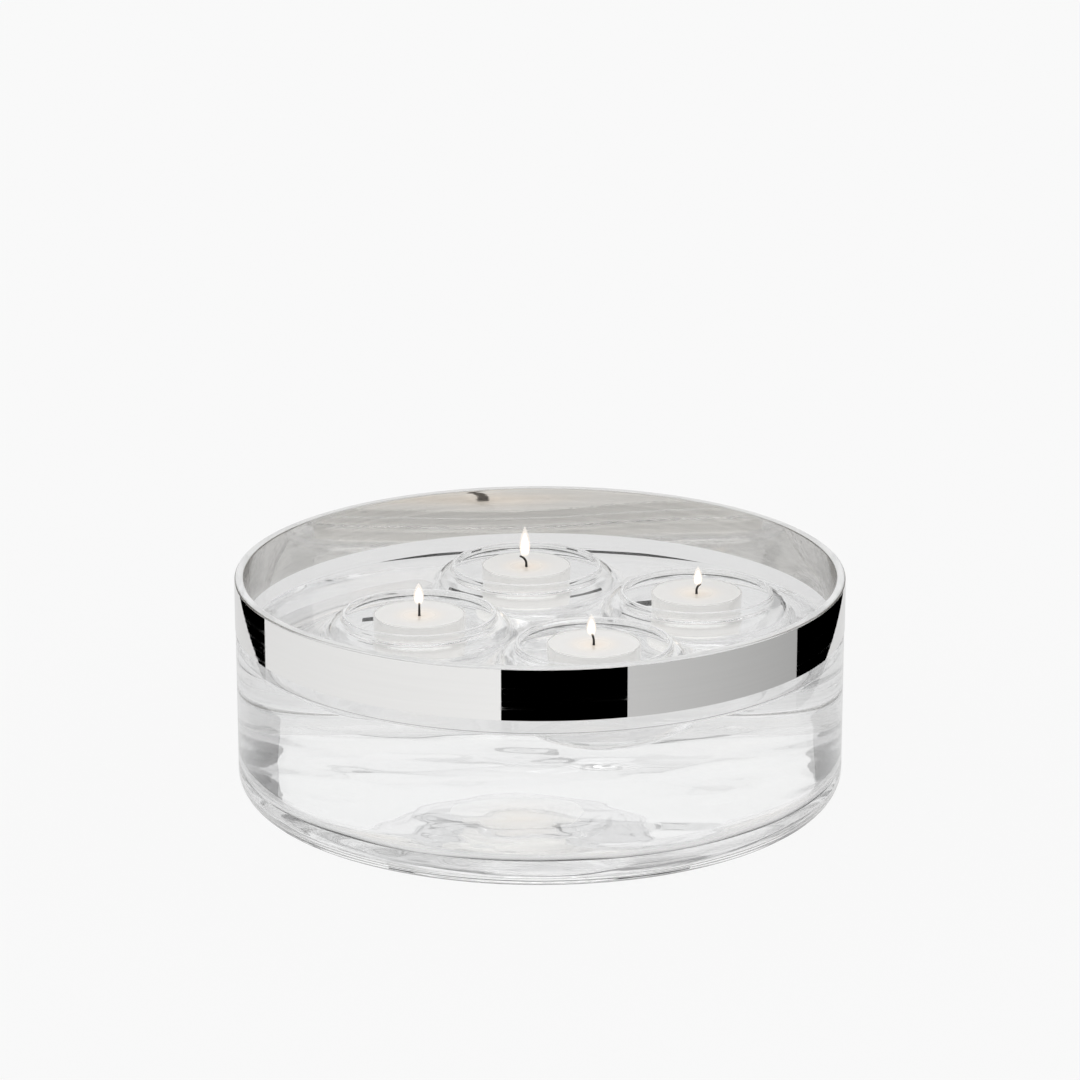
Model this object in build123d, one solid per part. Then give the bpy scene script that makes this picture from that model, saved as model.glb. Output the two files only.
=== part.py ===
"""Floating candle bowl: a clear glass bowl with a mirror band below its rim, filled with water,
on which four blown glass floats each carry a tealight.

Millimetres, +Z up. The origin is the middle of the bowl's foot, on the table, and the front is -Y.
A float is drawn about its own axis with z = 0 at the water's surface, and a tealight with z = 0 at
its foot. Both are then set in their places.
"""

import os
from math import acos, asin, cos, degrees, radians, sin

from build123d import *

# Bowl
BOWL_DIAMETER = 250.0
BOWL_HEIGHT = 92.0
BOWL_WALL = 3.6
BOWL_BASE = 10.0
BOWL_OUTER_CORNER = 10.0
BOWL_INNER_CORNER = 9.0
RIM_ROUND = 0.8
FOOT_RING_WIDTH = 20.0
UNDERSIDE_HOLLOW = 1.0

# Mirror band on the outside of the wall
BAND_BELOW_RIM = 0.9
BAND_HEIGHT = 20.5
BAND_THICKNESS = 0.2

# Water, with a clearance to the glass all round
WATER_BELOW_RIM = 30.0
WATER_CLEARANCE = 0.25

# Floats
FLOAT_DIAMETER = 78.4
FLOAT_LIP_DIAMETER = 64.0
FLOAT_LIP_HEIGHT = 2.8
FLOAT_FREEBOARD = 10.0
FLOAT_WALL = 1.6
FLOAT_BASE = 8.6
FLOAT_FOOT_DIAMETER = 20.0
FLOAT_FLOOR_CORNER = 4.0
FLOAT_NECK_ROUND = 1.0

# Where the floats have drifted to: a near pair close to the wall, and a far pair beside it
FLOAT_GAP = 2.8
FLOAT_WALL_GAP = 6.8
NEAR_PAIR_AZIMUTH = 61.9
FAR_PAIR_AZIMUTH = 237.2

# Tealights
TEALIGHT_DIAMETER = 38.2
TEALIGHT_HEIGHT = 28.0
TEALIGHT_TAPER = 0.9
TEALIGHT_BELOW_LIP = 0.7
CUP_WALL = 0.6
CUP_CORNER = 2.0
WAX_SHRINKAGE = 0.1
WAX_BELOW_CUP_RIM = 0.7
POOL_DIAMETER = 17.0
POOL_DEPTH = 0.4
WICK_DIAMETER = 1.3
WICK_STRAIGHT = 1.4
HOLDER_DIAMETER = 12.5
HOLDER_SHEET = 0.3
HOLDER_COLLAR_SHEET = 0.8
HOLDER_COLLAR_HEIGHT = 5.0

# The wicks' burnt ends: how long each is, then the way it curls and how far it turns
WICK_END_RIGHT = 3.6
WICK_END_BACK = 4.8
WICK_END_LEFT = 4.2
WICK_END_FRONT = 3.4
WICK_CURLS = [
    (0.0, 62.0, WICK_END_RIGHT),
    (180.0, 80.0, WICK_END_BACK),
    (90.0, 4.0, WICK_END_LEFT),
    (180.0, 26.0, WICK_END_FRONT),
]

# Sizes that follow from these
bowl_radius = BOWL_DIAMETER / 2
bowl_inner_radius = bowl_radius - BOWL_WALL
water_level = BOWL_HEIGHT - WATER_BELOW_RIM
float_radius = FLOAT_DIAMETER / 2
tealight_foot = FLOAT_FREEBOARD - TEALIGHT_BELOW_LIP - TEALIGHT_HEIGHT
float_depth = FLOAT_BASE - tealight_foot
cup_foot_radius = TEALIGHT_DIAMETER / 2 - TEALIGHT_TAPER
wax_top = TEALIGHT_HEIGHT - WAX_BELOW_CUP_RIM
wick_radius = WICK_DIAMETER / 2


def turned(face):
    """The solid that a face drawn in (radius, height) sweeps round the Z axis."""
    return revolve(Plane.XZ * face, Axis.Z)


def rounded(face, corners):
    """The face with the corners given as (radius, height): rounding rounded off."""
    for place, rounding in corners.items():
        corner = face.vertices().sort_by_distance((*place, 0))[0]
        face = fillet(corner, rounding)
    return face


def dish_radius(reach, depth):
    """The radius of a shallow dish that is as deep as given over its reach from the axis."""
    return (reach**2 + depth**2) / (2 * depth)


def vessel_outline(clearance, top):
    """The inside of the bowl up to a height, drawn in by a clearance."""
    radius = bowl_inner_radius - clearance
    floor = BOWL_BASE + clearance
    corner = BOWL_INNER_CORNER - clearance
    return make_face(
        [
            *Polyline((radius - corner, floor), (0, floor), (0, top), (radius, top)).edges(),
            Line((radius, top), (radius, floor + corner)),
            CenterArc((radius - corner, floor + corner), corner, 0, -90),
        ]
    )


def make_bowl():
    """Straight wall, thick base, rounded lower edge, and a foot ring round a hollow underside."""
    ring_inner = bowl_radius - BOWL_OUTER_CORNER - FOOT_RING_WIDTH
    hollow = dish_radius(ring_inner, UNDERSIDE_HOLLOW)
    hollow_turn = degrees(asin(ring_inner / hollow))
    corner = bowl_radius - BOWL_OUTER_CORNER
    outside = make_face(
        [
            CenterArc((0, UNDERSIDE_HOLLOW - hollow), hollow, 90, -hollow_turn),
            Line((ring_inner, 0), (corner, 0)),
            CenterArc((corner, BOWL_OUTER_CORNER), BOWL_OUTER_CORNER, -90, 90),
            *Polyline(
                (bowl_radius, BOWL_OUTER_CORNER),
                (bowl_radius, BOWL_HEIGHT),
                (0, BOWL_HEIGHT),
                (0, UNDERSIDE_HOLLOW),
            ).edges(),
        ]
    )
    section = outside - vessel_outline(0, BOWL_HEIGHT)
    rim = {
        (bowl_radius, BOWL_HEIGHT): RIM_ROUND,
        (bowl_inner_radius, BOWL_HEIGHT): RIM_ROUND,
    }
    return turned(rounded(section, rim))


def make_rim_band():
    """The mirror band, a thin sleeve on the outside of the wall."""
    middle = BOWL_HEIGHT - BAND_BELOW_RIM - BAND_HEIGHT / 2
    sleeve = Cylinder(bowl_radius + BAND_THICKNESS, BAND_HEIGHT) - Cylinder(bowl_radius, BAND_HEIGHT)
    return Pos(0, 0, middle) * sleeve


def round_bottom(radius, depth, foot):
    """A float's bottom: a flat foot, then an ellipse up to its widest ring at z = 0, as edges."""
    turn = degrees(acos(foot / radius))
    foot_z = -depth * sin(radians(turn))
    edges = [
        Line((0, foot_z), (foot, foot_z)),
        EllipticalCenterArc((0, 0), radius, depth, -turn, arc_size=turn),
    ]
    return edges, foot_z


def float_room():
    """The hollow that a float presses into the water, with the clearance all round, open upwards."""
    radius = float_radius + WATER_CLEARANCE
    foot = FLOAT_FOOT_DIAMETER / 2
    edges, foot_z = round_bottom(radius, float_depth + WATER_CLEARANCE, foot)
    edges += Polyline((radius, 0), (radius, FLOAT_FREEBOARD), (0, FLOAT_FREEBOARD), (0, foot_z)).edges()
    return turned(make_face(edges))


def make_water(places):
    """What the bowl holds: its inside up to the water's surface, less the floats' hollows."""
    water = turned(vessel_outline(WATER_CLEARANCE, water_level))
    room = float_room()
    for x, y in places:
        water -= Pos(x, y, water_level) * room
    return water


def make_float():
    """A blown float: round bottom on a small flat foot, bulging side, shoulder and upright lip."""
    edges, foot_z = round_bottom(float_radius, float_depth, FLOAT_FOOT_DIAMETER / 2)
    lip = FLOAT_LIP_DIAMETER / 2
    lip_round = FLOAT_WALL / 2
    shoulder = FLOAT_FREEBOARD - FLOAT_LIP_HEIGHT
    neck = (lip + FLOAT_NECK_ROUND, shoulder + FLOAT_NECK_ROUND)
    inner_radius = float_radius - FLOAT_WALL
    inner_depth = float_depth - FLOAT_WALL
    floor_turn = degrees(asin(-tealight_foot / inner_depth))
    floor = inner_radius * cos(radians(floor_turn))
    edges += [
        EllipticalCenterArc((neck[0], 0), float_radius - neck[0], shoulder, arc_size=90),
        CenterArc(neck, FLOAT_NECK_ROUND, 270, -90),
        Line((lip, neck[1]), (lip, FLOAT_FREEBOARD - lip_round)),
        CenterArc((lip - lip_round, FLOAT_FREEBOARD - lip_round), lip_round, 0, 180),
        Line((lip - FLOAT_WALL, FLOAT_FREEBOARD - lip_round), (lip - FLOAT_WALL, neck[1])),
        CenterArc(neck, FLOAT_NECK_ROUND + FLOAT_WALL, 180, 90),
        EllipticalCenterArc((neck[0], 0), inner_radius - neck[0], shoulder - FLOAT_WALL, arc_size=90),
        EllipticalCenterArc((0, 0), inner_radius, inner_depth, -floor_turn, arc_size=floor_turn),
        *Polyline((floor, tealight_foot), (0, tealight_foot), (0, foot_z)).edges(),
    ]
    return turned(rounded(make_face(edges), {(floor, tealight_foot): FLOAT_FLOOR_CORNER}))


def cup_inner(height):
    """The inside radius of a tealight's tapered cup at a height."""
    return cup_foot_radius + TEALIGHT_TAPER * height / TEALIGHT_HEIGHT - CUP_WALL


def make_cup():
    """The clear cup: tapered, with a rounded lower edge."""
    section = make_face(
        Polyline(
            (0, 0),
            (cup_foot_radius, 0),
            (TEALIGHT_DIAMETER / 2, TEALIGHT_HEIGHT),
            (cup_inner(TEALIGHT_HEIGHT), TEALIGHT_HEIGHT),
            (cup_inner(CUP_WALL), CUP_WALL),
            (0, CUP_WALL),
            close=True,
        ).edges()
    )
    corners = {
        (cup_foot_radius, 0): CUP_CORNER,
        (cup_inner(CUP_WALL), CUP_WALL): CUP_CORNER - CUP_WALL,
    }
    return turned(rounded(section, corners))


def make_wick_holder():
    """The tin foot on the floor of the cup, with the collar that grips the wick."""
    collar = wick_radius + HOLDER_COLLAR_SHEET
    section = make_face(
        Polyline(
            (wick_radius, 0),
            (HOLDER_DIAMETER / 2, 0),
            (HOLDER_DIAMETER / 2, HOLDER_SHEET),
            (collar, HOLDER_SHEET),
            (collar, HOLDER_COLLAR_HEIGHT),
            (wick_radius, HOLDER_COLLAR_HEIGHT),
            close=True,
        ).edges()
    )
    return Pos(0, 0, CUP_WALL) * turned(section)


def make_wick(azimuth, turn, burnt_end):
    """A wick that stands in its holder, comes out of the wax and curls over where it has burnt."""
    bend_z = wax_top - POOL_DEPTH + WICK_STRAIGHT
    straight = Line((0, CUP_WALL), (0, bend_z))
    bend = JernArc((0, bend_z), (0, 1), burnt_end / radians(turn), -turn)
    path = Plane.XZ * (straight + bend)
    return Rot(0, 0, azimuth) * sweep(Pos(0, 0, CUP_WALL) * Circle(wick_radius), path)


def make_wax(wick_holder):
    """The wax in the cup, cast round wick and holder, with a melt pool and a shrinkage gap at its side."""
    pool = POOL_DIAMETER / 2
    dish = dish_radius(pool, POOL_DEPTH)
    pool_bottom = wax_top - POOL_DEPTH
    foot = cup_inner(CUP_WALL) - WAX_SHRINKAGE
    section = make_face(
        [
            CenterArc((0, pool_bottom + dish), dish, -90, degrees(asin(pool / dish))),
            *Polyline(
                (pool, wax_top),
                (cup_inner(wax_top) - WAX_SHRINKAGE, wax_top),
                (foot, CUP_WALL),
                (0, CUP_WALL),
                (0, pool_bottom),
            ).edges(),
        ]
    )
    wax = turned(rounded(section, {(foot, CUP_WALL): CUP_CORNER - CUP_WALL}))
    wick_bore = Pos(0, 0, TEALIGHT_HEIGHT / 2) * Cylinder(wick_radius, TEALIGHT_HEIGHT)
    return wax - wick_holder - wick_bore


def float_places():
    """The floats' axes: a pair side by side near the wall, and a pair beside it, further in."""
    pitch = FLOAT_DIAMETER + FLOAT_GAP
    reach = bowl_inner_radius - float_radius - FLOAT_WALL_GAP
    spread = degrees(asin(pitch / 2 / reach))
    step = (pitch * cos(radians(FAR_PAIR_AZIMUTH)), pitch * sin(radians(FAR_PAIR_AZIMUTH)))
    near = [radians(NEAR_PAIR_AZIMUTH + side * spread) for side in (-1, 1)]
    right, back = [(reach * cos(a), reach * sin(a)) for a in near]
    left, front = [(x + step[0], y + step[1]) for x, y in (back, right)]
    return [right, back, left, front]


places = float_places()
nodes = {"bowl": make_bowl(), "rim_band": make_rim_band(), "water": make_water(places)}
float_shape = make_float()
cup_shape = make_cup()
holder_shape = make_wick_holder()
wax_shape = make_wax(holder_shape)
for number, ((x, y), curl) in enumerate(zip(places, WICK_CURLS), start=1):
    afloat = Pos(x, y, water_level)
    seat = afloat * Pos(0, 0, tealight_foot)
    nodes[f"float_{number}"] = afloat * float_shape
    nodes[f"tealight_cup_{number}"] = seat * cup_shape
    nodes[f"tealight_wax_{number}"] = seat * wax_shape
    nodes[f"tealight_wick_{number}"] = seat * make_wick(*curl)
    nodes[f"wick_holder_{number}"] = seat * holder_shape

os.makedirs("parts", exist_ok=True)
for name, solid in nodes.items():
    export_step(solid, f"parts/{name}.step")
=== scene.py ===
"""Floating candle bowl: a clear glass bowl with a mirror band below its rim, filled with water,
on which four blown glass floats each carry a burning tealight.

Metres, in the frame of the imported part: +Z is up, the origin is the middle of the bowl's foot,
and the front, from which it is photographed, is -Y.
"""

from math import acos, asin, atan2, ceil, cos, degrees, hypot, pi, radians, sin

import bpy
import numpy as np
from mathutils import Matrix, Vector


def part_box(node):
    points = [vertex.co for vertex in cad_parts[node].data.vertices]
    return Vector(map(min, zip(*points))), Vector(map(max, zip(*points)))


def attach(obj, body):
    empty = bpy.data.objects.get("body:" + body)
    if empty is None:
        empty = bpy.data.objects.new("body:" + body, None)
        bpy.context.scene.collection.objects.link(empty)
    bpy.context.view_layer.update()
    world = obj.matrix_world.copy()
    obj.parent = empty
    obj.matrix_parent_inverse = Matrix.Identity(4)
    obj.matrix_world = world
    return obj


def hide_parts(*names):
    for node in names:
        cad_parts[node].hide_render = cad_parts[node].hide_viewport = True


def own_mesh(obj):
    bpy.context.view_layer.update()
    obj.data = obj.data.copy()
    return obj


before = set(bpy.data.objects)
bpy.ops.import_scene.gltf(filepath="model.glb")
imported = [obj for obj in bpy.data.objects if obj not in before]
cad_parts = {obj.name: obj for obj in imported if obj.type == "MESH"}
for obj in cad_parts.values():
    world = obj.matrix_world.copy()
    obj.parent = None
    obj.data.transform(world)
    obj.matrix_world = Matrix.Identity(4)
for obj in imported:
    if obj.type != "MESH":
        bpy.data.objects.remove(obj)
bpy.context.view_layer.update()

MM = 0.001
NUMBERS = (1, 2, 3, 4)

# What light passes straight through on its way to the wax and the floor
CLEAR_SLOTS = ("clear_glass", "water", "float_glass", "clear_plastic")
LIGHT_BOUNCES = 96

# Bowl
BOWL_WALL = 3.6 * MM
BOWL_BASE = 10 * MM
BOWL_OUTER_CORNER = 10 * MM
BOWL_INNER_CORNER = 9 * MM
RIM_ROUND = 0.8 * MM
FOOT_RING_WIDTH = 20 * MM
UNDERSIDE_HOLLOW = 1 * MM
BAND_INTO_GLASS = 0.1 * MM

# Water: how far it overlaps the glass that it wets, and how it climbs up that glass
WATER_INTO_GLASS = 0.12 * MM
MENISCUS_REACH = 2.6 * MM
MENISCUS_AT_BOWL = 2.8 * MM
MENISCUS_AT_FLOAT = 2.0 * MM

# Water's surface: its cells, the shares of a cell within which points move on to an edge or join,
# and the rings in which it reaches the wall, which crowd towards it
WATER_CELL = 0.72 * MM
CELLS_TO_SPARE = 2
EDGE_CATCH = 0.72
CELL_MERGE = 0.02
WALL_RINGS = 14
WALL_RING_REACH = 5.5 * MM
WALL_RING_CROWDING = 1.6

# Floats
FLOAT_LIP_RADIUS = 32 * MM
FLOAT_LIP_HEIGHT = 2.8 * MM
FLOAT_FREEBOARD = 10 * MM
FLOAT_WALL = 1.6 * MM
FLOAT_FOOT_RADIUS = 10 * MM
FLOAT_FLOOR_CORNER = 4 * MM
FLOAT_NECK_ROUND = 1 * MM
FLOAT_BASE = 8.6 * MM

# Tealights
TEALIGHT_TAPER = 0.9 * MM
CUP_WALL = 0.6 * MM
CUP_CORNER = 2 * MM
WAX_INTO_CUP = 0.15 * MM
WAX_BELOW_CUP_RIM = 0.7 * MM
WAX_CREEP = 0.3 * MM
WAX_CREEP_REACH = 1.6 * MM
POOL_RADIUS = 8.5 * MM
POOL_DEPTH = 0.4 * MM

# Wicks: the way each burnt end curls, how far it turns, and how long it is
WICK_RADIUS = 0.65 * MM
WICK_TIP_RADIUS = 0.42 * MM
WICK_STRAIGHT = 1.4 * MM
WICK_IN_WAX = 3 * MM
WICK_SIDES = 12
WICK_RINGS = 26
WICK_TWIST = 24
WICK_SWELL = 1.05
WICK_CURLS = [(0, 62, 3.6 * MM), (180, 80, 4.8 * MM), (90, 4, 4.2 * MM), (180, 26, 3.4 * MM)]

# Flames: how tall and how wide each is, and how far each stands to the side of its wick's foot
FLAMES = [
    (8.8 * MM, 3.7 * MM, 0.5 * MM),
    (14.2 * MM, 4.5 * MM, -0.6 * MM),
    (9.6 * MM, 4.3 * MM, -0.2 * MM),
    (9.4 * MM, 3.9 * MM, -1.0 * MM),
]
FLAME_CORE_SHARE = 0.8
FLAME_BELOW_TIP = 1.0 * MM
FLAME_STEPS = 24
FLAME_WIDEST_AT = 0.385
FLAME_FOOT_POWER = 0.55
FLAME_POINT_POWER = 0.9

# Fineness of the turned pieces, with angles in degrees
ARC_STEP = 6
CORNER_STEP = 2
BOWL_SEGMENTS = 288
FLOAT_SEGMENTS = 192
TEALIGHT_SEGMENTS = 128
FLAME_SEGMENTS = 32
SMOOTH_ANGLE = 40
WICK_SMOOTH_ANGLE = 60
MERGE_DISTANCE = 0.001 * MM
CORNER_HALVINGS = 40

# Clear finishes: how strongly they bend light, how they are tinted, how deep their waves are, where
# the bowl's waves fade or rise, and the white of the rounded edges, a painted highlight that on the bowl's
# rim is also its ground finish
WHITE = (1, 1, 1, 1)
BLACK = (0, 0, 0, 1)
GLASS_IOR = 1.5
GLASS_TINT = (0.994, 0.996, 0.997, 1)
GLASS_WAVE = 0.12 * MM
BASE_WAVES = 3.5
BASE_FADE = (9 * MM, 16 * MM)
FOOT_RING_WAVES = 9.0
FOOT_RING_RISE = (35 * MM, 85 * MM)
UNDERSIDE_FADE = (1.2 * MM, 4 * MM)
# The white on the rounded edges: a painted highlight, on the bowl's rim also its ground finish
EDGE_GROUND_AND_HIGHLIGHT = 0.6
EDGE_STARTS = 0.5
EDGE_FULL = 0.1
EDGE_GROUND_AND_HIGHLIGHT_WHITES = ((0.86, 0.87, 0.87, 1), (0.95, 0.95, 0.95, 1))
EDGE_ROUGHNESS = 0.3
FLOAT_TINT = (0.995, 0.997, 0.998, 1)
FLOAT_WAVE = 0.03 * MM
WATER_IOR = 1.333
WATER_TINT = (0.996, 0.998, 1, 1)
WATER_RIPPLE = 0.03 * MM
PLASTIC_IOR = 1.49
PLASTIC_TINT = (0.99, 0.99, 0.988, 1)
PLASTIC_FLOW = 0.01 * MM

# Mirror band: its two greys outside and behind the glass, and what the lines of its rolling do
MIRROR_OUTSIDE = ((0.84, 0.835, 0.825, 1), (0.91, 0.905, 0.895, 1))
MIRROR_BEHIND = ((0.54, 0.53, 0.515, 1), (0.92, 0.91, 0.89, 1))
LINE_SHARE = 0.6
LINE_DEPTH = 0.004 * MM
MIRROR_ROUGHNESS = 0.012
LINE_ROUGHNESS = 0.07
LINE_ROUGH_FROM = (0.5, 0.72)

# Wax, wicks and their holders, with painted flame light and a painted glow on the wax
WAX_WHITES = ((0.82, 0.812, 0.795, 1), (0.86, 0.853, 0.838, 1))
# Painted flame light on the wax round the wick, then a painted glow low on the wax and the share of the
# cup's height that it reaches
WAX_PAINTED_FLAME_LIGHT = (0.92, 0.835, 0.74, 1)
WAX_PAINTED_GLOW = (0.19, 0.185, 0.175, 1)
WAX_PAINTED_GLOW_REACH = 0.8
WAX_GRAIN = 0.02 * MM
WAX_ROUGHNESS = 0.42
MOLTEN_ROUGHNESS = 0.08
MOLTEN_FADE = (0.55 * POOL_RADIUS, 1.05 * POOL_RADIUS)
# How far the painted flame light reaches from the wick
PAINTED_FLAME_LIGHT_FADE = (0.0, 1.6 * POOL_RADIUS)
CHAR_BLACKS = ((0.006, 0.006, 0.006, 1), (0.045, 0.04, 0.036, 1))
CHAR_ROUGHNESS = 0.9
BRAID_DEPTH = 0.08 * MM
TIN_GREYS = ((0.62, 0.62, 0.6, 1), (0.76, 0.76, 0.74, 1))
TIN_ROUGHNESS = 0.25
SPANGLE_ROUGHNESS = 0.2

# Flames' light: colours at foot and point, strength, and how much is covered where it is full
CORE_LIGHT = (((1, 0.86, 0.72, 1), (1, 0.985, 0.96, 1)), 2.0, 0.95)
MANTLE_LIGHT = (((1, 0.8, 0.62, 1), (1, 0.95, 0.89, 1)), 1.1, 0.4)
FLAME_FLICKER = 0.15
NOISE_MIDDLE = 0.5
FLAME_CLOSES = (0.02, 0.4)

# Camera, from a fit to the bowl's outline
CAMERA_PLACE = (0, -1.627, 0.600)
CAMERA_PITCH = 16.92
CAMERA_LENS = 138.5
SENSOR = 36

# Stage: how white the floor and the backdrop are, seen straight and in glass, how bright the room
# is, and the heights in degrees at which a dark ceiling and then a light above show in the glass
FLOOR_SIZE = 12.0
FLOOR_PAINT = 0.9
FLOOR_WHITE = 0.962
FLOOR_WHITE_SHARE = 0.75
FLOOR_IN_GLASS = 0.62
FLOOR_SHARE_IN_GLASS = 0.55
BACKDROP_WHITE = 0.947
BACKDROP_IN_GLASS = 0.93
ROOM_LIGHT = 1.0
CEILING_FROM = (46, 60)
CEILING_LIGHT = 0.1
TOP_LIGHT_FROM = (68, 70)
TOP_LIGHT = 2.4

# Cards round the bowl: their ends in degrees to the right of the camera, how high the foot of each
# end is, how bright each end is and, where they differ, the ring they stand on and their top
CARD_RING = 260 * MM
CARD_TOP = 70 * MM
CARD_STEPS = 24
CARDS = {
    "front_card": {"ends": (-10.7, 24.4), "feet": (18 * MM, 18 * MM), "lights": (0.0, 0.0)},
    "left_card": {"ends": (-99.5, -10.7), "feet": (5 * MM, 14 * MM), "lights": (0.82, 0.93)},
    "right_card": {"ends": (24.4, 87.6), "feet": (2 * MM, 2 * MM), "lights": (0.6, 0.42)},
    "right_edge_card": {"ends": (87.6, 140), "feet": (-7 * MM, 28 * MM), "lights": (0.0, 0.0)},
    "left_edge_card": {"ends": (-99.5, -140), "feet": (4 * MM, 37 * MM), "lights": (0.0, 0.0)},
    "right_back_card": {"ends": (112, 155), "feet": (60 * MM, 60 * MM), "lights": (0.3, 0.05),
                        "ring": 500 * MM, "top": 400 * MM},
    "left_back_card": {"ends": (-112, -150), "feet": (60 * MM, 60 * MM), "lights": (0.05, 0.15),
                       "ring": 500 * MM, "top": 400 * MM},
    "far_card": {"ends": (163, 197), "feet": (0.5 * MM, 0.5 * MM), "lights": (0.0, 0.0),
                 "ring": 1200 * MM, "top": 110 * MM},
}

# Black strip on the floor behind the bowl: a painted shadow there, seen only in glass
SHADOW_STRIP_SIZE = (160 * MM, 18 * MM, 1)
SHADOW_STRIP_PLACE = (-8 * MM, 195 * MM, 0.5 * MM)

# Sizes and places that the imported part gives
bowl_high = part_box("bowl")[1]
bowl_radius = bowl_high.x
bowl_height = bowl_high.z
bowl_inner_radius = bowl_radius - BOWL_WALL
band_low, band_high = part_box("rim_band")
water_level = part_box("water")[1].z
float_low, float_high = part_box("float_1")
float_radius = (float_high.x - float_low.x) / 2
cup_low, cup_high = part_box("tealight_cup_1")
cup_radius = (cup_high.x - cup_low.x) / 2
cup_height = cup_high.z - cup_low.z
tealight_foot = cup_low.z - water_level
float_depth = FLOAT_BASE - tealight_foot
wax_top = cup_height - WAX_BELOW_CUP_RIM
wick_bend = wax_top - POOL_DEPTH + WICK_STRAIGHT


def middle(node):
    """The middle of a node, seen from above."""
    low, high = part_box(node)
    return Vector(((low.x + high.x) / 2, (low.y + high.y) / 2, 0))


float_places = [middle(f"float_{n}") for n in NUMBERS]
afloat = [place + Vector((0, 0, water_level)) for place in float_places]
seats = [place + Vector((0, 0, cup_low.z)) for place in float_places]


# Modelling

def clear_selection():
    """Nothing is left selected or in edit mode."""
    if bpy.context.object and bpy.context.object.mode != "OBJECT":
        bpy.ops.object.mode_set(mode="OBJECT")
    bpy.ops.object.select_all(action="DESELECT")


def points_of(piece):
    """A piece's points, one to a row."""
    return np.array([v.co for v in piece.data.vertices])


def move_points(piece, points):
    """Puts a piece's points in new places."""
    piece.data.vertices.foreach_set("co", points.ravel())


def keep_values(piece, name, values):
    """Keeps a value for each point as an attribute for the piece's finish."""
    attribute = piece.data.attributes.new(name, "FLOAT", "POINT")
    attribute.data.foreach_set("value", values.astype(np.float32))


def keep_places(piece):
    """Keeps each point's distance from the axis and its height."""
    points = points_of(piece)
    keep_values(piece, "from_axis", np.hypot(points[:, 0], points[:, 1]))
    keep_values(piece, "height", points[:, 2])


def arc(centre, size, start, turn, finest=ARC_STEP):
    """Points along the arc of a circle or an ellipse, in (radius, height), with its angles in degrees."""
    steps = max(2, ceil(abs(turn) / finest))
    angles = [radians(start + turn * step / steps) for step in range(steps + 1)]
    return [(centre[0] + size[0] * cos(a), centre[1] + size[1] * sin(a)) for a in angles]


def first_point(name, place):
    """A new piece in edit mode that is a single point so far."""
    clear_selection()
    bpy.ops.mesh.primitive_plane_add(size=MM)
    piece = bpy.context.object
    piece.name = name
    bpy.ops.object.mode_set(mode="EDIT")
    bpy.ops.mesh.select_mode(type="VERT")
    bpy.ops.mesh.merge(type="CENTER")
    bpy.ops.transform.translate(value=place)
    return piece


def turned(name, outline, segments, inward=False):
    """An outline in (radius, height) spun round the Z axis."""
    piece = first_point(name, (outline[0][0], 0, outline[0][1]))
    for (r0, z0), (r1, z1) in zip(outline, outline[1:]):
        bpy.ops.mesh.extrude_vertices_move(TRANSFORM_OT_translate={"value": (r1 - r0, 0, z1 - z0)})
    bpy.ops.mesh.select_all(action="SELECT")
    bpy.ops.mesh.spin(steps=segments, angle=2 * pi, center=(0, 0, 0), axis=(0, 0, 1))
    bpy.ops.mesh.select_all(action="SELECT")
    bpy.ops.mesh.remove_doubles(threshold=MERGE_DISTANCE)
    bpy.ops.mesh.normals_make_consistent(inside=inward)
    bpy.ops.object.mode_set(mode="OBJECT")
    bpy.ops.object.shade_smooth_by_angle(angle=radians(SMOOTH_ANGLE))
    return piece


def set_out(pattern, name, places):
    """Copies of a pattern modelled about the Z axis, each with its own mesh, set in their places."""
    pieces = []
    for number, place in zip(NUMBERS, places):
        clear_selection()
        pattern.select_set(True)
        bpy.context.view_layer.objects.active = pattern
        bpy.ops.object.duplicate(linked=False)
        piece = bpy.context.object
        piece.name = f"{name}_{number}"
        bpy.ops.transform.translate(value=place)
        bpy.ops.object.transform_apply(location=True, rotation=False, scale=False)
        pieces.append(piece)
    bpy.data.objects.remove(pattern)
    return pieces


def dress(piece, finish, body, slot=None, node=None):
    """Gives a piece its finish and body, lets light through it if its slot is clear, and hides the node it
    stands for.
    """
    piece.data.materials.clear()
    piece.data.materials.append(finish)
    if slot in CLEAR_SLOTS:
        piece.visible_diffuse = False
        piece.visible_shadow = False
    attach(piece, body)
    if node:
        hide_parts(node)


# Finishes

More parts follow.
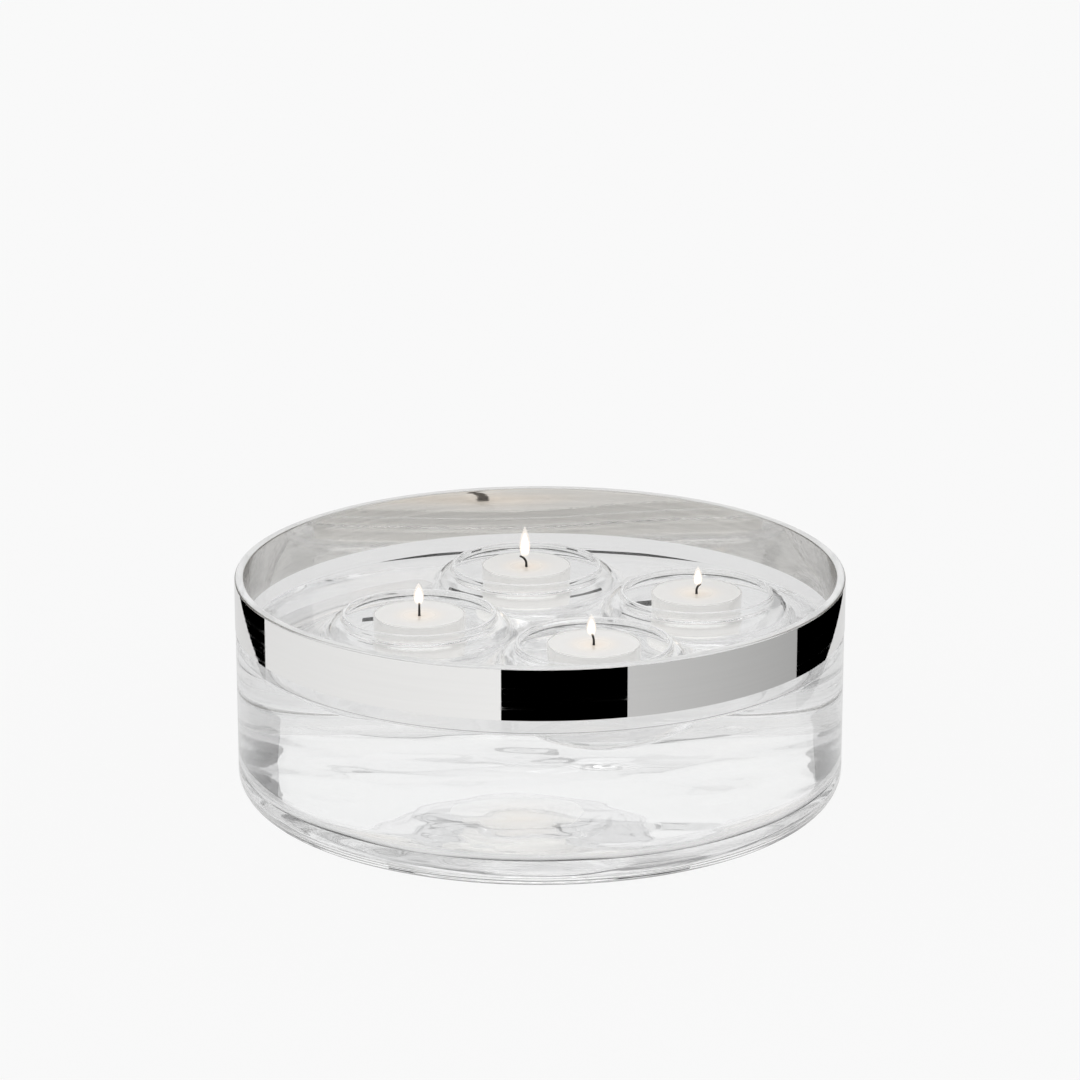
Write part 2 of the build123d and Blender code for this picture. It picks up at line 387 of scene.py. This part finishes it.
class Shade:
    """A shader socket. Operators on it add Math nodes, and node() adds a node of any other kind."""

    def __init__(self, tree, socket=None):
        self.tree = tree
        self.socket = socket

    def node(self, kind, settings=None, sockets=None, output=0):
        made = self.tree.nodes.new("ShaderNode" + kind)
        for name, value in (settings or {}).items():
            setattr(made, name, value)
        for name, value in (sockets or {}).items():
            if isinstance(value, Shade):
                self.tree.links.new(value.socket, made.inputs[name])
            else:
                made.inputs[name].default_value = value
        return Shade(self.tree, made.outputs[output] if made.outputs else None)

    def maths(self, operation, *values):
        return self.node("Math", {"operation": operation}, dict(enumerate(values)))

    def __add__(self, other):
        return self.maths("ADD", self, other)

    def __sub__(self, other):
        return self.maths("SUBTRACT", self, other)

    def __rsub__(self, other):
        return self.maths("SUBTRACT", other, self)

    def __mul__(self, other):
        return self.maths("MULTIPLY", self, other)

    __radd__ = __add__
    __rmul__ = __mul__

    def step(self, low, high):
        """Rises smoothly from 0 at low to 1 at high."""
        limits = {"Value": self, "From Min": low, "From Max": high}
        return self.node("MapRange", {"interpolation_type": "SMOOTHSTEP"}, limits)

    def mix(self, low, high):
        """A colour between two others, by this value."""
        return self.node("Mix", {"data_type": "RGBA"}, {0: self, 6: low, 7: high}, output=2)

    def noise(self, scale, detail=2.0, stretch=(1, 1, 1)):
        """Even noise over the object, with its places stretched along the axes."""
        places = self.node("TexCoord", output="Object")
        places = self.node("Mapping", None, {"Vector": places, "Scale": stretch})
        return self.node("TexNoise", None, {"Vector": places, "Scale": scale, "Detail": detail})

    def kept(self, name):
        """An attribute that the piece's mesh holds."""
        return self.node("Attribute", {"attribute_name": name}, output="Fac")

    def bump(self, height, depth):
        """A surface that is as uneven as given, in metres."""
        return self.node("Bump", None, {"Height": height, "Distance": depth})

    def principled(self, **sockets):
        named = {name.replace("_", " ").title().replace("Ior", "IOR"): v for name, v in sockets.items()}
        return self.node("BsdfPrincipled", None, named)

    def clear(self, tint, ior, waves, depth):
        """A shader that light passes, with waves on its surface."""
        return self.principled(base_color=tint, roughness=0.0, transmission_weight=1.0, ior=ior,
                               normal=self.bump(waves, depth))

    def emission(self, strength):
        """A shader of plain white light."""
        return self.node("Emission", None, {"Color": WHITE, "Strength": strength})

    def shown(self, shader):
        """Ends a finish."""
        self.node("OutputMaterial", None, {"Surface": shader})

    def seen(self):
        """1 where the camera sees a surface straight, and 1 where it is seen in glass or in a mirror."""
        straight, mirrored, through = [
            self.node("LightPath", output=f"Is {kind} Ray") for kind in ("Camera", "Glossy", "Transmission")
        ]
        return straight, self.maths("MAXIMUM", mirrored, through)


def new_finish(name):
    """A new material and the start of its shader."""
    material = bpy.data.materials.new(name)
    material.use_nodes = True
    material.node_tree.nodes.clear()
    return material, Shade(material.node_tree)


def ground_edge_and_painted_highlight(shade, clear, top, rounding):
    """Clear glass whose rounded edge is painted white all along: a painted highlight, which on the bowl's
    rim is also the white of its ground finish.
    """
    grain = shade.noise(scale=800)
    ground = shade.principled(base_color=grain.mix(*EDGE_GROUND_AND_HIGHLIGHT_WHITES), roughness=EDGE_ROUGHNESS)
    # Where the painted highlight lies, along the top of the rounded edge
    edge = shade.kept("height").step(top - EDGE_STARTS * rounding, top - EDGE_FULL * rounding)
    return shade.node("MixShader", None, {0: edge * EDGE_GROUND_AND_HIGHLIGHT, 1: clear, 2: ground})


def pressed_glass():
    """The bowl's heavy clear glass, wavy from its mould, most of all towards its foot ring."""
    material, shade = new_finish("pressed_glass")
    height = shade.kept("height")
    base = 1 - height.step(*BASE_FADE)
    underside = 1 - height.step(*UNDERSIDE_FADE)
    foot_ring = underside * shade.kept("from_axis").step(*FOOT_RING_RISE)
    uneven = (BASE_WAVES * base + FOOT_RING_WAVES * foot_ring) * shade.noise(scale=30, detail=0.5)
    waves = shade.noise(scale=16, detail=1.0, stretch=(1, 1, 1.7)) + uneven
    tint = shade.noise(scale=9).mix(GLASS_TINT, WHITE)
    clear = shade.clear(tint, GLASS_IOR, waves, GLASS_WAVE)
    # The rim's white edge is partly its ground finish and partly a painted highlight
    shade.shown(ground_edge_and_painted_highlight(shade, clear, bowl_height, RIM_ROUND))
    return material


def blown_glass():
    """The floats' thin clear glass, with the slow waves of blown glass."""
    material, shade = new_finish("blown_glass")
    tint = shade.noise(scale=20).mix(FLOAT_TINT, WHITE)
    clear = shade.clear(tint, GLASS_IOR, shade.noise(scale=60, detail=1.0), FLOAT_WAVE)
    # A painted highlight along the top of each float's lip
    shade.shown(ground_edge_and_painted_highlight(shade, clear, FLOAT_FREEBOARD, FLOAT_WALL / 2))
    return material


def clear_water():
    """Still water, with hardly any ripple."""
    material, shade = new_finish("clear_water")
    tint = shade.noise(scale=12).mix(WATER_TINT, WHITE)
    shade.shown(shade.clear(tint, WATER_IOR, shade.noise(scale=45, detail=1.0), WATER_RIPPLE))
    return material


def clear_plastic():
    """The tealights' clear moulded cups."""
    material, shade = new_finish("clear_plastic")
    flow = shade.noise(scale=150, detail=1.0, stretch=(1, 1, 0.3))
    shade.shown(shade.clear(flow.mix(PLASTIC_TINT, WHITE), PLASTIC_IOR, flow, PLASTIC_FLOW))
    return material


def fired_mirror():
    """The mirror band: polished outside, with the faint lines of its rolling on, and greyer behind."""
    material, shade = new_finish("fired_mirror")
    lines = shade.noise(scale=14, detail=4.0, stretch=(1, 1, 60))
    clouds = shade.noise(scale=16, detail=3.0)
    streaks = LINE_SHARE * lines + (1 - LINE_SHARE) * clouds
    outside = shade.kept("from_axis").step(bowl_radius - BAND_INTO_GLASS, band_high.x)
    tint = outside.mix(streaks.mix(*MIRROR_BEHIND), streaks.mix(*MIRROR_OUTSIDE))
    roughness = MIRROR_ROUGHNESS + LINE_ROUGHNESS * lines.step(*LINE_ROUGH_FROM)
    shade.shown(shade.principled(base_color=tint, metallic=1.0, roughness=roughness,
                                 normal=shade.bump(lines, LINE_DEPTH)))
    return material


def candle_wax():
    """White wax, melted clear round the wick, with painted flame light round the wick and a painted glow at
    its foot in place of light let down through the wax.
    """
    material, shade = new_finish("candle_wax")
    from_axis = shade.kept("from_axis")
    grain = shade.noise(scale=300, detail=3.0)
    # Painted flame light, warmest at the wick
    molten = 1 - from_axis.step(*MOLTEN_FADE)
    painted_flame_light = 1 - from_axis.step(*PAINTED_FLAME_LIGHT_FADE)
    # A painted glow, strongest at the wax's foot and fading upwards
    foot = 1 - shade.kept("height").step(0.0, WAX_PAINTED_GLOW_REACH * cup_height)
    tint = painted_flame_light.mix(grain.mix(*WAX_WHITES), WAX_PAINTED_FLAME_LIGHT)
    roughness = WAX_ROUGHNESS - (WAX_ROUGHNESS - MOLTEN_ROUGHNESS) * molten
    shade.shown(shade.principled(base_color=tint, roughness=roughness, emission_strength=1.0,
                                 emission_color=foot.mix(BLACK, WAX_PAINTED_GLOW),
                                 normal=shade.bump(grain * (1 - molten), WAX_GRAIN)))
    return material


def charred_cotton():
    """The wicks: charred braid, with a trace of ash."""
    material, shade = new_finish("charred_cotton")
    braid = shade.noise(scale=2600, stretch=(1, 1, 0.6))
    shade.shown(shade.principled(base_color=braid.mix(*CHAR_BLACKS), roughness=CHAR_ROUGHNESS,
                                 normal=shade.bump(braid, BRAID_DEPTH)))
    return material


def tinned_sheet():
    """The wick holders' tinned sheet."""
    material, shade = new_finish("tinned_sheet")
    spangle = shade.noise(scale=900, detail=3.0)
    shade.shown(shade.principled(base_color=spangle.mix(*TIN_GREYS), metallic=1.0,
                                 roughness=TIN_ROUGHNESS + SPANGLE_ROUGHNESS * spangle))
    return material


def flame_light(name, colours, strength, cover):
    """Part of a flame: light that is clear at its foot and closes upwards."""
    material, shade = new_finish(name)
    height = shade.kept("height")
    tongue = shade.noise(scale=260, detail=1.0)
    colour = (height + FLAME_FLICKER * (tongue - NOISE_MIDDLE)).mix(*colours)
    shade.shown(shade.principled(base_color=BLACK, roughness=1.0, specular_ior_level=0.0,
                                 emission_color=colour, emission_strength=strength,
                                 alpha=height.step(*FLAME_CLOSES) * cover))
    return material


# Glass

def dish_radius(reach, depth):
    """The radius of a shallow dish that is as deep as given over its reach from the axis."""
    return (reach**2 + depth**2) / (2 * depth)


def make_bowl():
    """Straight wall, thick base, rounded lower edge, foot ring and hollow underside."""
    corner = bowl_radius - BOWL_OUTER_CORNER
    ring_inner = corner - FOOT_RING_WIDTH
    hollow = dish_radius(ring_inner, UNDERSIDE_HOLLOW)
    hollow_turn = degrees(asin(ring_inner / hollow))
    inner_corner = bowl_inner_radius - BOWL_INNER_CORNER
    rim = bowl_height - RIM_ROUND
    outline = [
        *arc((0, UNDERSIDE_HOLLOW - hollow), (hollow, hollow), 90, -hollow_turn),
        *arc((corner, BOWL_OUTER_CORNER), (BOWL_OUTER_CORNER, BOWL_OUTER_CORNER), -90, 90, CORNER_STEP),
        *arc((bowl_radius - RIM_ROUND, rim), (RIM_ROUND, RIM_ROUND), 0, 90),
        *arc((bowl_inner_radius + RIM_ROUND, rim), (RIM_ROUND, RIM_ROUND), 90, 90),
        *arc((inner_corner, BOWL_BASE + BOWL_INNER_CORNER), (BOWL_INNER_CORNER, BOWL_INNER_CORNER), 0, -90,
             CORNER_STEP),
        (0, BOWL_BASE),
    ]
    bowl = turned("glass_bowl", outline, BOWL_SEGMENTS)
    keep_places(bowl)
    return bowl


def make_band():
    """The mirror band, fired on to the outside of the wall."""
    inside = bowl_radius - BAND_INTO_GLASS
    outside = band_high.x
    outline = [(inside, band_low.z), (outside, band_low.z), (outside, band_high.z), (inside, band_high.z)]
    band = turned("mirror_band", [*outline, outline[0]], BOWL_SEGMENTS)
    keep_places(band)
    return band


def round_bottom(inset):
    """A float's bottom, drawn in by an inset: a flat foot, then an ellipse up to its widest ring."""
    radius = float_radius - inset
    depth = float_depth - inset
    turn = degrees(acos(FLOAT_FOOT_RADIUS / radius))
    return [(0, -depth * sin(radians(turn))), *arc((0, 0), (radius, depth), -turn, turn)]


def float_shoulder(inset):
    """A float's shoulder, drawn in by an inset: where its quarter ellipse is centred, and its size."""
    centre = FLOAT_LIP_RADIUS + FLOAT_NECK_ROUND
    return centre, float_radius - inset - centre, FLOAT_FREEBOARD - FLOAT_LIP_HEIGHT - inset


def floor_corner():
    """A float's inside corner: how far its side's ellipse turns, the corner's centre and its start."""
    radius = float_radius - FLOAT_WALL
    depth = float_depth - FLOAT_WALL
    low, high = 0.0, pi / 2
    for _ in range(CORNER_HALVINGS):
        turn = (low + high) / 2
        slope = hypot(depth * cos(turn), radius * sin(turn))
        rise = -depth * sin(turn) + FLOAT_FLOOR_CORNER * radius * sin(turn) / slope
        low, high = (turn, high) if rise > tealight_foot + FLOAT_FLOOR_CORNER else (low, turn)
    inset = FLOAT_FLOOR_CORNER * depth * cos(turn) / slope
    centre = (radius * cos(turn) - inset, tealight_foot + FLOAT_FLOOR_CORNER)
    return degrees(turn), centre, degrees(atan2(-radius * sin(turn), depth * cos(turn)))


def make_floats():
    """Blown floats: round bottom, bulging side, shoulder and short upright lip."""
    centre, shoulder_width, shoulder_height = float_shoulder(0)
    inner_width, inner_height = float_shoulder(FLOAT_WALL)[1:]
    lip_round = FLOAT_WALL / 2
    neck = (centre, shoulder_height + FLOAT_NECK_ROUND)
    inner_neck = FLOAT_NECK_ROUND + FLOAT_WALL
    inner_size = (float_radius - FLOAT_WALL, float_depth - FLOAT_WALL)
    corner = (FLOAT_FLOOR_CORNER, FLOAT_FLOOR_CORNER)
    side_turn, corner_centre, corner_start = floor_corner()
    outline = [
        *round_bottom(0),
        *arc((centre, 0), (shoulder_width, shoulder_height), 0, 90)[1:],
        *arc(neck, (FLOAT_NECK_ROUND, FLOAT_NECK_ROUND), 270, -90)[1:],
        *arc((FLOAT_LIP_RADIUS - lip_round, FLOAT_FREEBOARD - lip_round), (lip_round, lip_round), 0, 180),
        *arc(neck, (inner_neck, inner_neck), 180, 90),
        *arc((centre, 0), (inner_width, inner_height), 90, -90)[1:],
        *arc((0, 0), inner_size, 0, -side_turn)[1:],
        *arc(corner_centre, corner, corner_start, -90 - corner_start)[1:],
        (0, tealight_foot),
    ]
    pattern = turned("float_pattern", outline, FLOAT_SEGMENTS)
    keep_places(pattern)
    return set_out(pattern, "blown_float", afloat)


# Water

def hollow_rim():
    """The radius at which the water ends on a float, just inside its glass, and how far up its shoulder."""
    centre, width, height = float_shoulder(WATER_INTO_GLASS)
    climb = asin(MENISCUS_AT_FLOAT / height)
    return centre + width * cos(climb), degrees(climb)


def make_hollows():
    """The water's skin below each float, which follows the float's glass."""
    centre, width, height = float_shoulder(WATER_INTO_GLASS)
    climb = hollow_rim()[1]
    outline = [*round_bottom(WATER_INTO_GLASS), *arc((centre, 0), (width, height), 0, climb)[1:]]
    return set_out(turned("hollow_pattern", outline, FLOAT_SEGMENTS, inward=True), "water_hollow", afloat)


def near_to(points, place, radius):
    """How far points lie outside a circle seen from above, and their way out from its middle."""
    away = points[:, :2] - np.array(place)[:2]
    distance = np.hypot(away[:, 0], away[:, 1])
    return distance - radius, away / np.maximum(distance, MERGE_DISTANCE)[:, None]


def water_climb(points, reach, rim_radius):
    """How high the water stands above its level: it climbs up the bowl and up each float."""
    free = np.ones(len(points))
    for place in float_places:
        gap = np.maximum(near_to(points, place, rim_radius)[0], 0)
        free *= 1 - np.exp(-gap / MENISCUS_REACH)
    wall = np.exp(-np.maximum(-near_to(points, (0, 0), reach)[0], 0) / MENISCUS_REACH)
    return MENISCUS_AT_FLOAT * (1 - free) + MENISCUS_AT_BOWL * wall * free


def lay_surface(edge_radius, rim_radius, cells):
    """A level surface with a hole for each float, left in edit mode."""
    clear_selection()
    bpy.ops.mesh.primitive_grid_add(x_subdivisions=cells, y_subdivisions=cells, size=cells * WATER_CELL)
    water = bpy.context.object
    water.name = "still_water"

    # Grid points near the edges move on to them, and faces beyond them go
    points = points_of(water)
    catch = EDGE_CATCH * WATER_CELL
    beyond = np.zeros(len(points), bool)
    caught = np.zeros(len(points), bool)
    edges = [(place, rim_radius, 1) for place in float_places] + [((0, 0), edge_radius, -1)]
    for place, radius, side in edges:
        distance, outward = near_to(points, place, radius)
        near = np.abs(distance) < catch
        beyond |= side * distance <= -catch
        caught |= near
        points[near, :2] -= (distance[:, None] * outward)[near]
    points[:, 2] = water_level
    move_points(water, points)
    corners = np.array([p.vertices[:] for p in water.data.polygons])
    unwanted = beyond[corners].any(axis=1) | caught[corners].all(axis=1)
    bpy.ops.object.mode_set(mode="EDIT")
    bpy.ops.mesh.select_mode(type="FACE")
    bpy.ops.object.mode_set(mode="OBJECT")
    water.data.polygons.foreach_set("select", unwanted)
    bpy.ops.object.mode_set(mode="EDIT")
    bpy.ops.mesh.delete(type="FACE")
    bpy.ops.mesh.select_all(action="SELECT")
    bpy.ops.mesh.remove_doubles(threshold=CELL_MERGE * WATER_CELL)
    return water


def select_outer_edge(water, radius):
    """Of the surface's open edges only the outermost is selected, in edit mode."""
    bpy.ops.mesh.select_mode(type="EDGE")
    bpy.ops.mesh.select_all(action="SELECT")
    bpy.ops.mesh.region_to_loop()
    bpy.ops.object.mode_set(mode="OBJECT")
    outermost = np.abs(near_to(points_of(water), (0, 0), radius)[0]) < MERGE_DISTANCE
    for edge in water.data.edges:
        edge.select = edge.select and all(outermost[v] for v in edge.vertices)
    bpy.ops.object.mode_set(mode="EDIT")


def draw_edge(path):
    """Draws the selected edge on along a path in (radius, height)."""
    for (r0, z0), (r1, z1) in zip(path, path[1:]):
        bpy.ops.mesh.extrude_edges_move(TRANSFORM_OT_translate={"value": (0, 0, z1 - z0)})
        bpy.ops.transform.resize(value=(r1 / r0, r1 / r0, 1), center_override=(0, 0, z1))


def make_water():
    """The water: a surface with a hole for each float, then its side and its bottom."""
    reach = bowl_inner_radius + WATER_INTO_GLASS
    rim_radius = hollow_rim()[0]
    shares = [1 - ring / WALL_RINGS for ring in range(WALL_RINGS + 1)]
    rings = [(reach - WALL_RING_REACH * share**WALL_RING_CROWDING, water_level) for share in shares]
    edge_radius = rings[0][0]
    water = lay_surface(edge_radius, rim_radius, ceil(2 * reach / WATER_CELL) + CELLS_TO_SPARE)

    # The outer edge is drawn out to the wall, and the water climbs there and at the floats
    select_outer_edge(water, edge_radius)
    draw_edge(rings)
    bpy.ops.object.mode_set(mode="OBJECT")
    points = points_of(water)
    points[:, 2] += water_climb(points, reach, rim_radius)
    move_points(water, points)

    # Then it is drawn down into the side and bottom
    bpy.ops.object.mode_set(mode="EDIT")
    corner = BOWL_INNER_CORNER + WATER_INTO_GLASS
    floor = BOWL_BASE - WATER_INTO_GLASS
    side = arc((reach - corner, floor + corner), (corner, corner), 0, -90)
    bpy.ops.mesh.extrude_edges_move(TRANSFORM_OT_translate={"value": (0, 0, side[0][1] - water_level)})
    bpy.ops.transform.resize(value=(1, 1, 0), center_override=(0, 0, side[0][1]))
    draw_edge(side)
    bpy.ops.mesh.extrude_edges_move(TRANSFORM_OT_translate={"value": (0, 0, 0)})
    bpy.ops.mesh.merge(type="CENTER")
    bpy.ops.mesh.select_all(action="SELECT")
    bpy.ops.mesh.normals_make_consistent(inside=False)
    bpy.ops.object.mode_set(mode="OBJECT")
    bpy.ops.object.shade_smooth_by_angle(angle=radians(SMOOTH_ANGLE))
    return water


# Tealights

def cup_inner(height):
    """The inside radius of a tealight's tapered cup at a height."""
    return cup_radius - TEALIGHT_TAPER * (1 - height / cup_height) - CUP_WALL


def make_cups():
    """Clear tapered cups with a rounded lower edge and a rounded rim."""
    foot = cup_radius - TEALIGHT_TAPER
    lip = CUP_WALL / 2
    inner = CUP_CORNER - CUP_WALL
    outline = [
        (0, 0),
        *arc((foot - CUP_CORNER, CUP_CORNER), (CUP_CORNER, CUP_CORNER), -90, 90),
        *arc((cup_radius - lip, cup_height - lip), (lip, lip), 0, 180),
        *arc((cup_inner(CUP_CORNER) - inner, CUP_CORNER), (inner, inner), 0, -90),
        (0, CUP_WALL),
    ]
    return set_out(turned("cup_pattern", outline, TEALIGHT_SEGMENTS), "clear_cup", seats)


def make_wax():
    """Wax that stands on the floor of its cup, creeps up at its edge and has melted round its wick."""
    dish = dish_radius(POOL_RADIUS, POOL_DEPTH)
    pool_turn = degrees(asin(POOL_RADIUS / dish))
    edge = cup_inner(wax_top) + WAX_INTO_CUP
    corner = CUP_CORNER - CUP_WALL
    foot = cup_inner(CUP_WALL) + WAX_INTO_CUP
    floor = CUP_WALL - WAX_INTO_CUP
    creep = (WAX_CREEP_REACH, WAX_CREEP)
    outline = [
        (0, floor),
        *arc((foot - corner, floor + corner), (corner, corner), -90, 90),
        *arc((edge - WAX_CREEP_REACH, wax_top + WAX_CREEP), creep, 0, -90),
        *arc((0, wax_top - POOL_DEPTH + dish), (dish, dish), pool_turn - 90, -pool_turn),
    ]
    pattern = turned("wax_pattern", outline, TEALIGHT_SEGMENTS)
    keep_places(pattern)
    return set_out(pattern, "candle_wax", seats)


def curled(points, azimuth, turn, length):
    """A straight wick's points, with its burnt end bent over."""
    radius = length / radians(turn)
    along = np.maximum(points[:, 2] - wick_bend, 0) / radius
    toward = np.array([cos(radians(azimuth)), sin(radians(azimuth))])
    offset = points[:, :2] @ toward
    shift = radius - (radius - offset) * np.cos(along) - offset
    points[:, :2] += np.where(along > 0, shift, 0)[:, None] * toward
    points[:, 2] = np.where(along > 0, wick_bend + (radius - offset) * np.sin(along), points[:, 2])
    return points


def make_wick(number, curl):
    """A braided wick, twisted a little, that thins and curls over where it has burnt."""
    bottom = wax_top - POOL_DEPTH - WICK_IN_WAX
    length = WICK_IN_WAX + WICK_STRAIGHT + curl[2]
    clear_selection()
    bpy.ops.mesh.primitive_circle_add(vertices=WICK_SIDES, radius=WICK_RADIUS, fill_type="NGON")
    wick = bpy.context.object
    wick.name = f"burnt_wick_{number}"
    bpy.ops.object.mode_set(mode="EDIT")
    bpy.ops.mesh.select_mode(type="FACE")
    bpy.ops.mesh.select_all(action="SELECT")
    bpy.ops.transform.translate(value=(0, 0, bottom))
    thin = (WICK_TIP_RADIUS / WICK_RADIUS) ** (1 / WICK_RINGS)
    for ring in range(WICK_RINGS):
        lift = (0, 0, length / WICK_RINGS)
        centre = (0, 0, bottom + length * (ring + 1) / WICK_RINGS)
        swell = thin * (WICK_SWELL if ring % 2 else 1 / WICK_SWELL)
        bpy.ops.mesh.extrude_region_move(TRANSFORM_OT_translate={"value": lift})
        bpy.ops.transform.resize(value=(swell, swell, 1), center_override=centre)
        bpy.ops.transform.rotate(value=radians(WICK_TWIST), orient_axis="Z", center_override=centre)
    bpy.ops.mesh.select_all(action="SELECT")
    bpy.ops.mesh.normals_make_consistent(inside=False)
    bpy.ops.object.mode_set(mode="OBJECT")
    move_points(wick, curled(points_of(wick), *curl) + np.array(seats[number - 1]))
    bpy.ops.object.shade_smooth_by_angle(angle=radians(WICK_SMOOTH_ANGLE))
    return wick


def flame_swell(share):
    """How wide a flame is at a share of its height: it has a round foot and a long point."""
    return share**FLAME_FOOT_POWER * (1 - share) ** FLAME_POINT_POWER


def flame_outline(height, width):
    """A flame's outline, as wide as given where it is widest."""
    shares = [step / FLAME_STEPS for step in range(FLAME_STEPS + 1)]
    widest = flame_swell(FLAME_WIDEST_AT)
    return [(width / 2 * flame_swell(share) / widest, share * height) for share in shares]


def make_flame(name, number, share):
    """A flame that stands round its wick's burnt end."""
    height, width, aside = FLAMES[number - 1]
    turn, length = WICK_CURLS[number - 1][1:]
    flame = turned(f"{name}_{number}", flame_outline(height * share, width * share), FLAME_SEGMENTS)
    points = points_of(flame)
    keep_values(flame, "height", points[:, 2] / height)
    tip = wick_bend + length * sin(radians(turn)) / radians(turn)
    foot = np.array(seats[number - 1]) + np.array([aside, 0, tip - FLAME_BELOW_TIP])
    move_points(flame, points + foot)
    return flame


# Studio

def make_floor():
    """A plain white floor, seen white by the camera, glass and metal, that keeps the bowl's shadow."""
    clear_selection()
    bpy.ops.mesh.primitive_plane_add(size=FLOOR_SIZE)
    floor = bpy.context.object
    floor.name = "studio_floor"
    material, shade = new_finish("white_floor")
    paint = shade.node("BsdfDiffuse", None, {"Color": (FLOOR_PAINT, FLOOR_PAINT, FLOOR_PAINT, 1)})
    straight, in_glass = shade.seen()
    white = shade.emission(straight * FLOOR_WHITE + in_glass * FLOOR_IN_GLASS)
    share = straight * FLOOR_WHITE_SHARE + in_glass * FLOOR_SHARE_IN_GLASS
    shade.shown(shade.node("MixShader", None, {0: share, 1: paint, 2: white}))
    floor.data.materials.append(material)


def show_in_glass(card):
    """Puts a card on the stage, where it shows in glass and in a mirror and casts no shade."""
    card.visible_camera = False
    card.visible_diffuse = False
    card.visible_shadow = False


def make_card(name, ends, feet, lights, ring=CARD_RING, top=CARD_TOP):
    """A card that stands round part of the bowl and shows only in its glass and its mirror band."""
    start, end = ends
    card = first_point(name, (ring * sin(radians(start)), -ring * cos(radians(start)), top))
    bpy.ops.mesh.extrude_vertices_move(TRANSFORM_OT_translate={"value": (0, 0, feet[0] - top)})
    bpy.ops.mesh.select_all(action="SELECT")
    bpy.ops.mesh.spin(steps=CARD_STEPS, angle=radians(end - start), center=(0, 0, 0), axis=(0, 0, -1))
    bpy.ops.object.mode_set(mode="OBJECT")
    along = card.data.attributes.new("along", "FLOAT", "POINT")
    for point, share in zip(card.data.vertices, along.data):
        share.value = (degrees(atan2(point.co.x, -point.co.y)) - start) / (end - start)
        if point.co.z < top:
            point.co.z += (feet[1] - feet[0]) * share.value
    material, shade = new_finish(name)
    shade.shown(shade.emission(shade.kept("along") * (lights[1] - lights[0]) + lights[0]))
    card.data.materials.append(material)
    show_in_glass(card)


def make_shadow_strip():
    """A black strip on the floor behind the bowl, a painted shadow there that darkens the edge of the water
    seen in the glass.
    """
    clear_selection()
    bpy.ops.mesh.primitive_plane_add(size=1)
    gap = bpy.context.object
    gap.name = "painted_shadow_strip"
    bpy.ops.object.mode_set(mode="EDIT")
    bpy.ops.transform.resize(value=SHADOW_STRIP_SIZE)
    bpy.ops.transform.translate(value=SHADOW_STRIP_PLACE)
    bpy.ops.object.mode_set(mode="OBJECT")
    # Black: a painted shadow on the floor, seen only in glass
    material, shade = new_finish("painted_shadow_strip")
    shade.shown(shade.node("BsdfDiffuse", None, {"Color": BLACK}))
    gap.data.materials.append(material)
    show_in_glass(gap)


def make_studio():
    """Soft white light all round, under a ceiling that looks dark in the glass, with a light above."""
    world = bpy.data.worlds.new("studio")
    bpy.context.scene.world = world
    world.use_nodes = True
    world.node_tree.nodes.clear()
    shade = Shade(world.node_tree)
    straight, in_glass = shade.seen()
    way = shade.node("TexCoord", output="Generated")
    height = shade.node("SeparateXYZ", None, {0: way}, output="Z")
    ceiling = height.step(*(sin(radians(angle)) for angle in CEILING_FROM))
    top_light = height.step(*(sin(radians(angle)) for angle in TOP_LIGHT_FROM))
    shown = BACKDROP_IN_GLASS + (CEILING_LIGHT - BACKDROP_IN_GLASS) * ceiling
    shown = shown + (TOP_LIGHT - CEILING_LIGHT) * top_light
    other = in_glass * shown + (1 - in_glass) * ROOM_LIGHT
    strength = straight * BACKDROP_WHITE + (1 - straight) * other
    light = shade.node("Background", None, {"Color": WHITE, "Strength": strength})
    shade.node("OutputWorld", None, {"Surface": light})


def make_camera():
    """The photograph's view."""
    data = bpy.data.cameras.new("camera")
    data.lens = CAMERA_LENS
    data.sensor_width = SENSOR
    camera = bpy.data.objects.new("camera", data)
    bpy.context.scene.collection.objects.link(camera)
    camera.location = CAMERA_PLACE
    camera.rotation_euler = (radians(90 - CAMERA_PITCH), 0, 0)
    bpy.context.scene.camera = camera


bpy.context.scene.view_settings.view_transform = "Standard"
light_paths = bpy.context.scene.cycles
light_paths.max_bounces = LIGHT_BOUNCES
light_paths.glossy_bounces = LIGHT_BOUNCES
light_paths.transmission_bounces = LIGHT_BOUNCES
make_camera()
make_floor()
make_studio()
for name, card in CARDS.items():
    make_card(name, **card)
# The painted shadow behind the bowl
make_shadow_strip()

dress(make_bowl(), pressed_glass(), "bowl", "clear_glass", "bowl")
dress(make_band(), fired_mirror(), "bowl", "mirror_metal", "rim_band")
water_finish = clear_water()
dress(make_water(), water_finish, "water", "water", "water")
float_finish = blown_glass()
cup_finish = clear_plastic()
wax_finish = candle_wax()
wick_finish = charred_cotton()
holder_finish = tinned_sheet()
core_finish = flame_light("flame_core", *CORE_LIGHT)
mantle_finish = flame_light("flame_mantle", *MANTLE_LIGHT)

for number, hollow in zip(NUMBERS, make_hollows()):
    dress(hollow, water_finish, "water", "water")
    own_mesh(hollow)
for number, piece in zip(NUMBERS, make_floats()):
    dress(piece, float_finish, f"float_{number}", "float_glass", f"float_{number}")
for number, piece in zip(NUMBERS, make_cups()):
    dress(piece, cup_finish, f"tealight_{number}", "clear_plastic", f"tealight_cup_{number}")
for number, piece in zip(NUMBERS, make_wax()):
    dress(piece, wax_finish, f"tealight_{number}", "white_wax", f"tealight_wax_{number}")
for number, curl in zip(NUMBERS, WICK_CURLS):
    body = f"tealight_{number}"
    dress(make_wick(number, curl), wick_finish, body, "burnt_wick", f"tealight_wick_{number}")
    dress(make_flame("flame_core", number, FLAME_CORE_SHARE), core_finish, body)
    dress(make_flame("flame_mantle", number, 1.0), mantle_finish, body)
    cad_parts[f"wick_holder_{number}"].material_slots[0].material = holder_finish
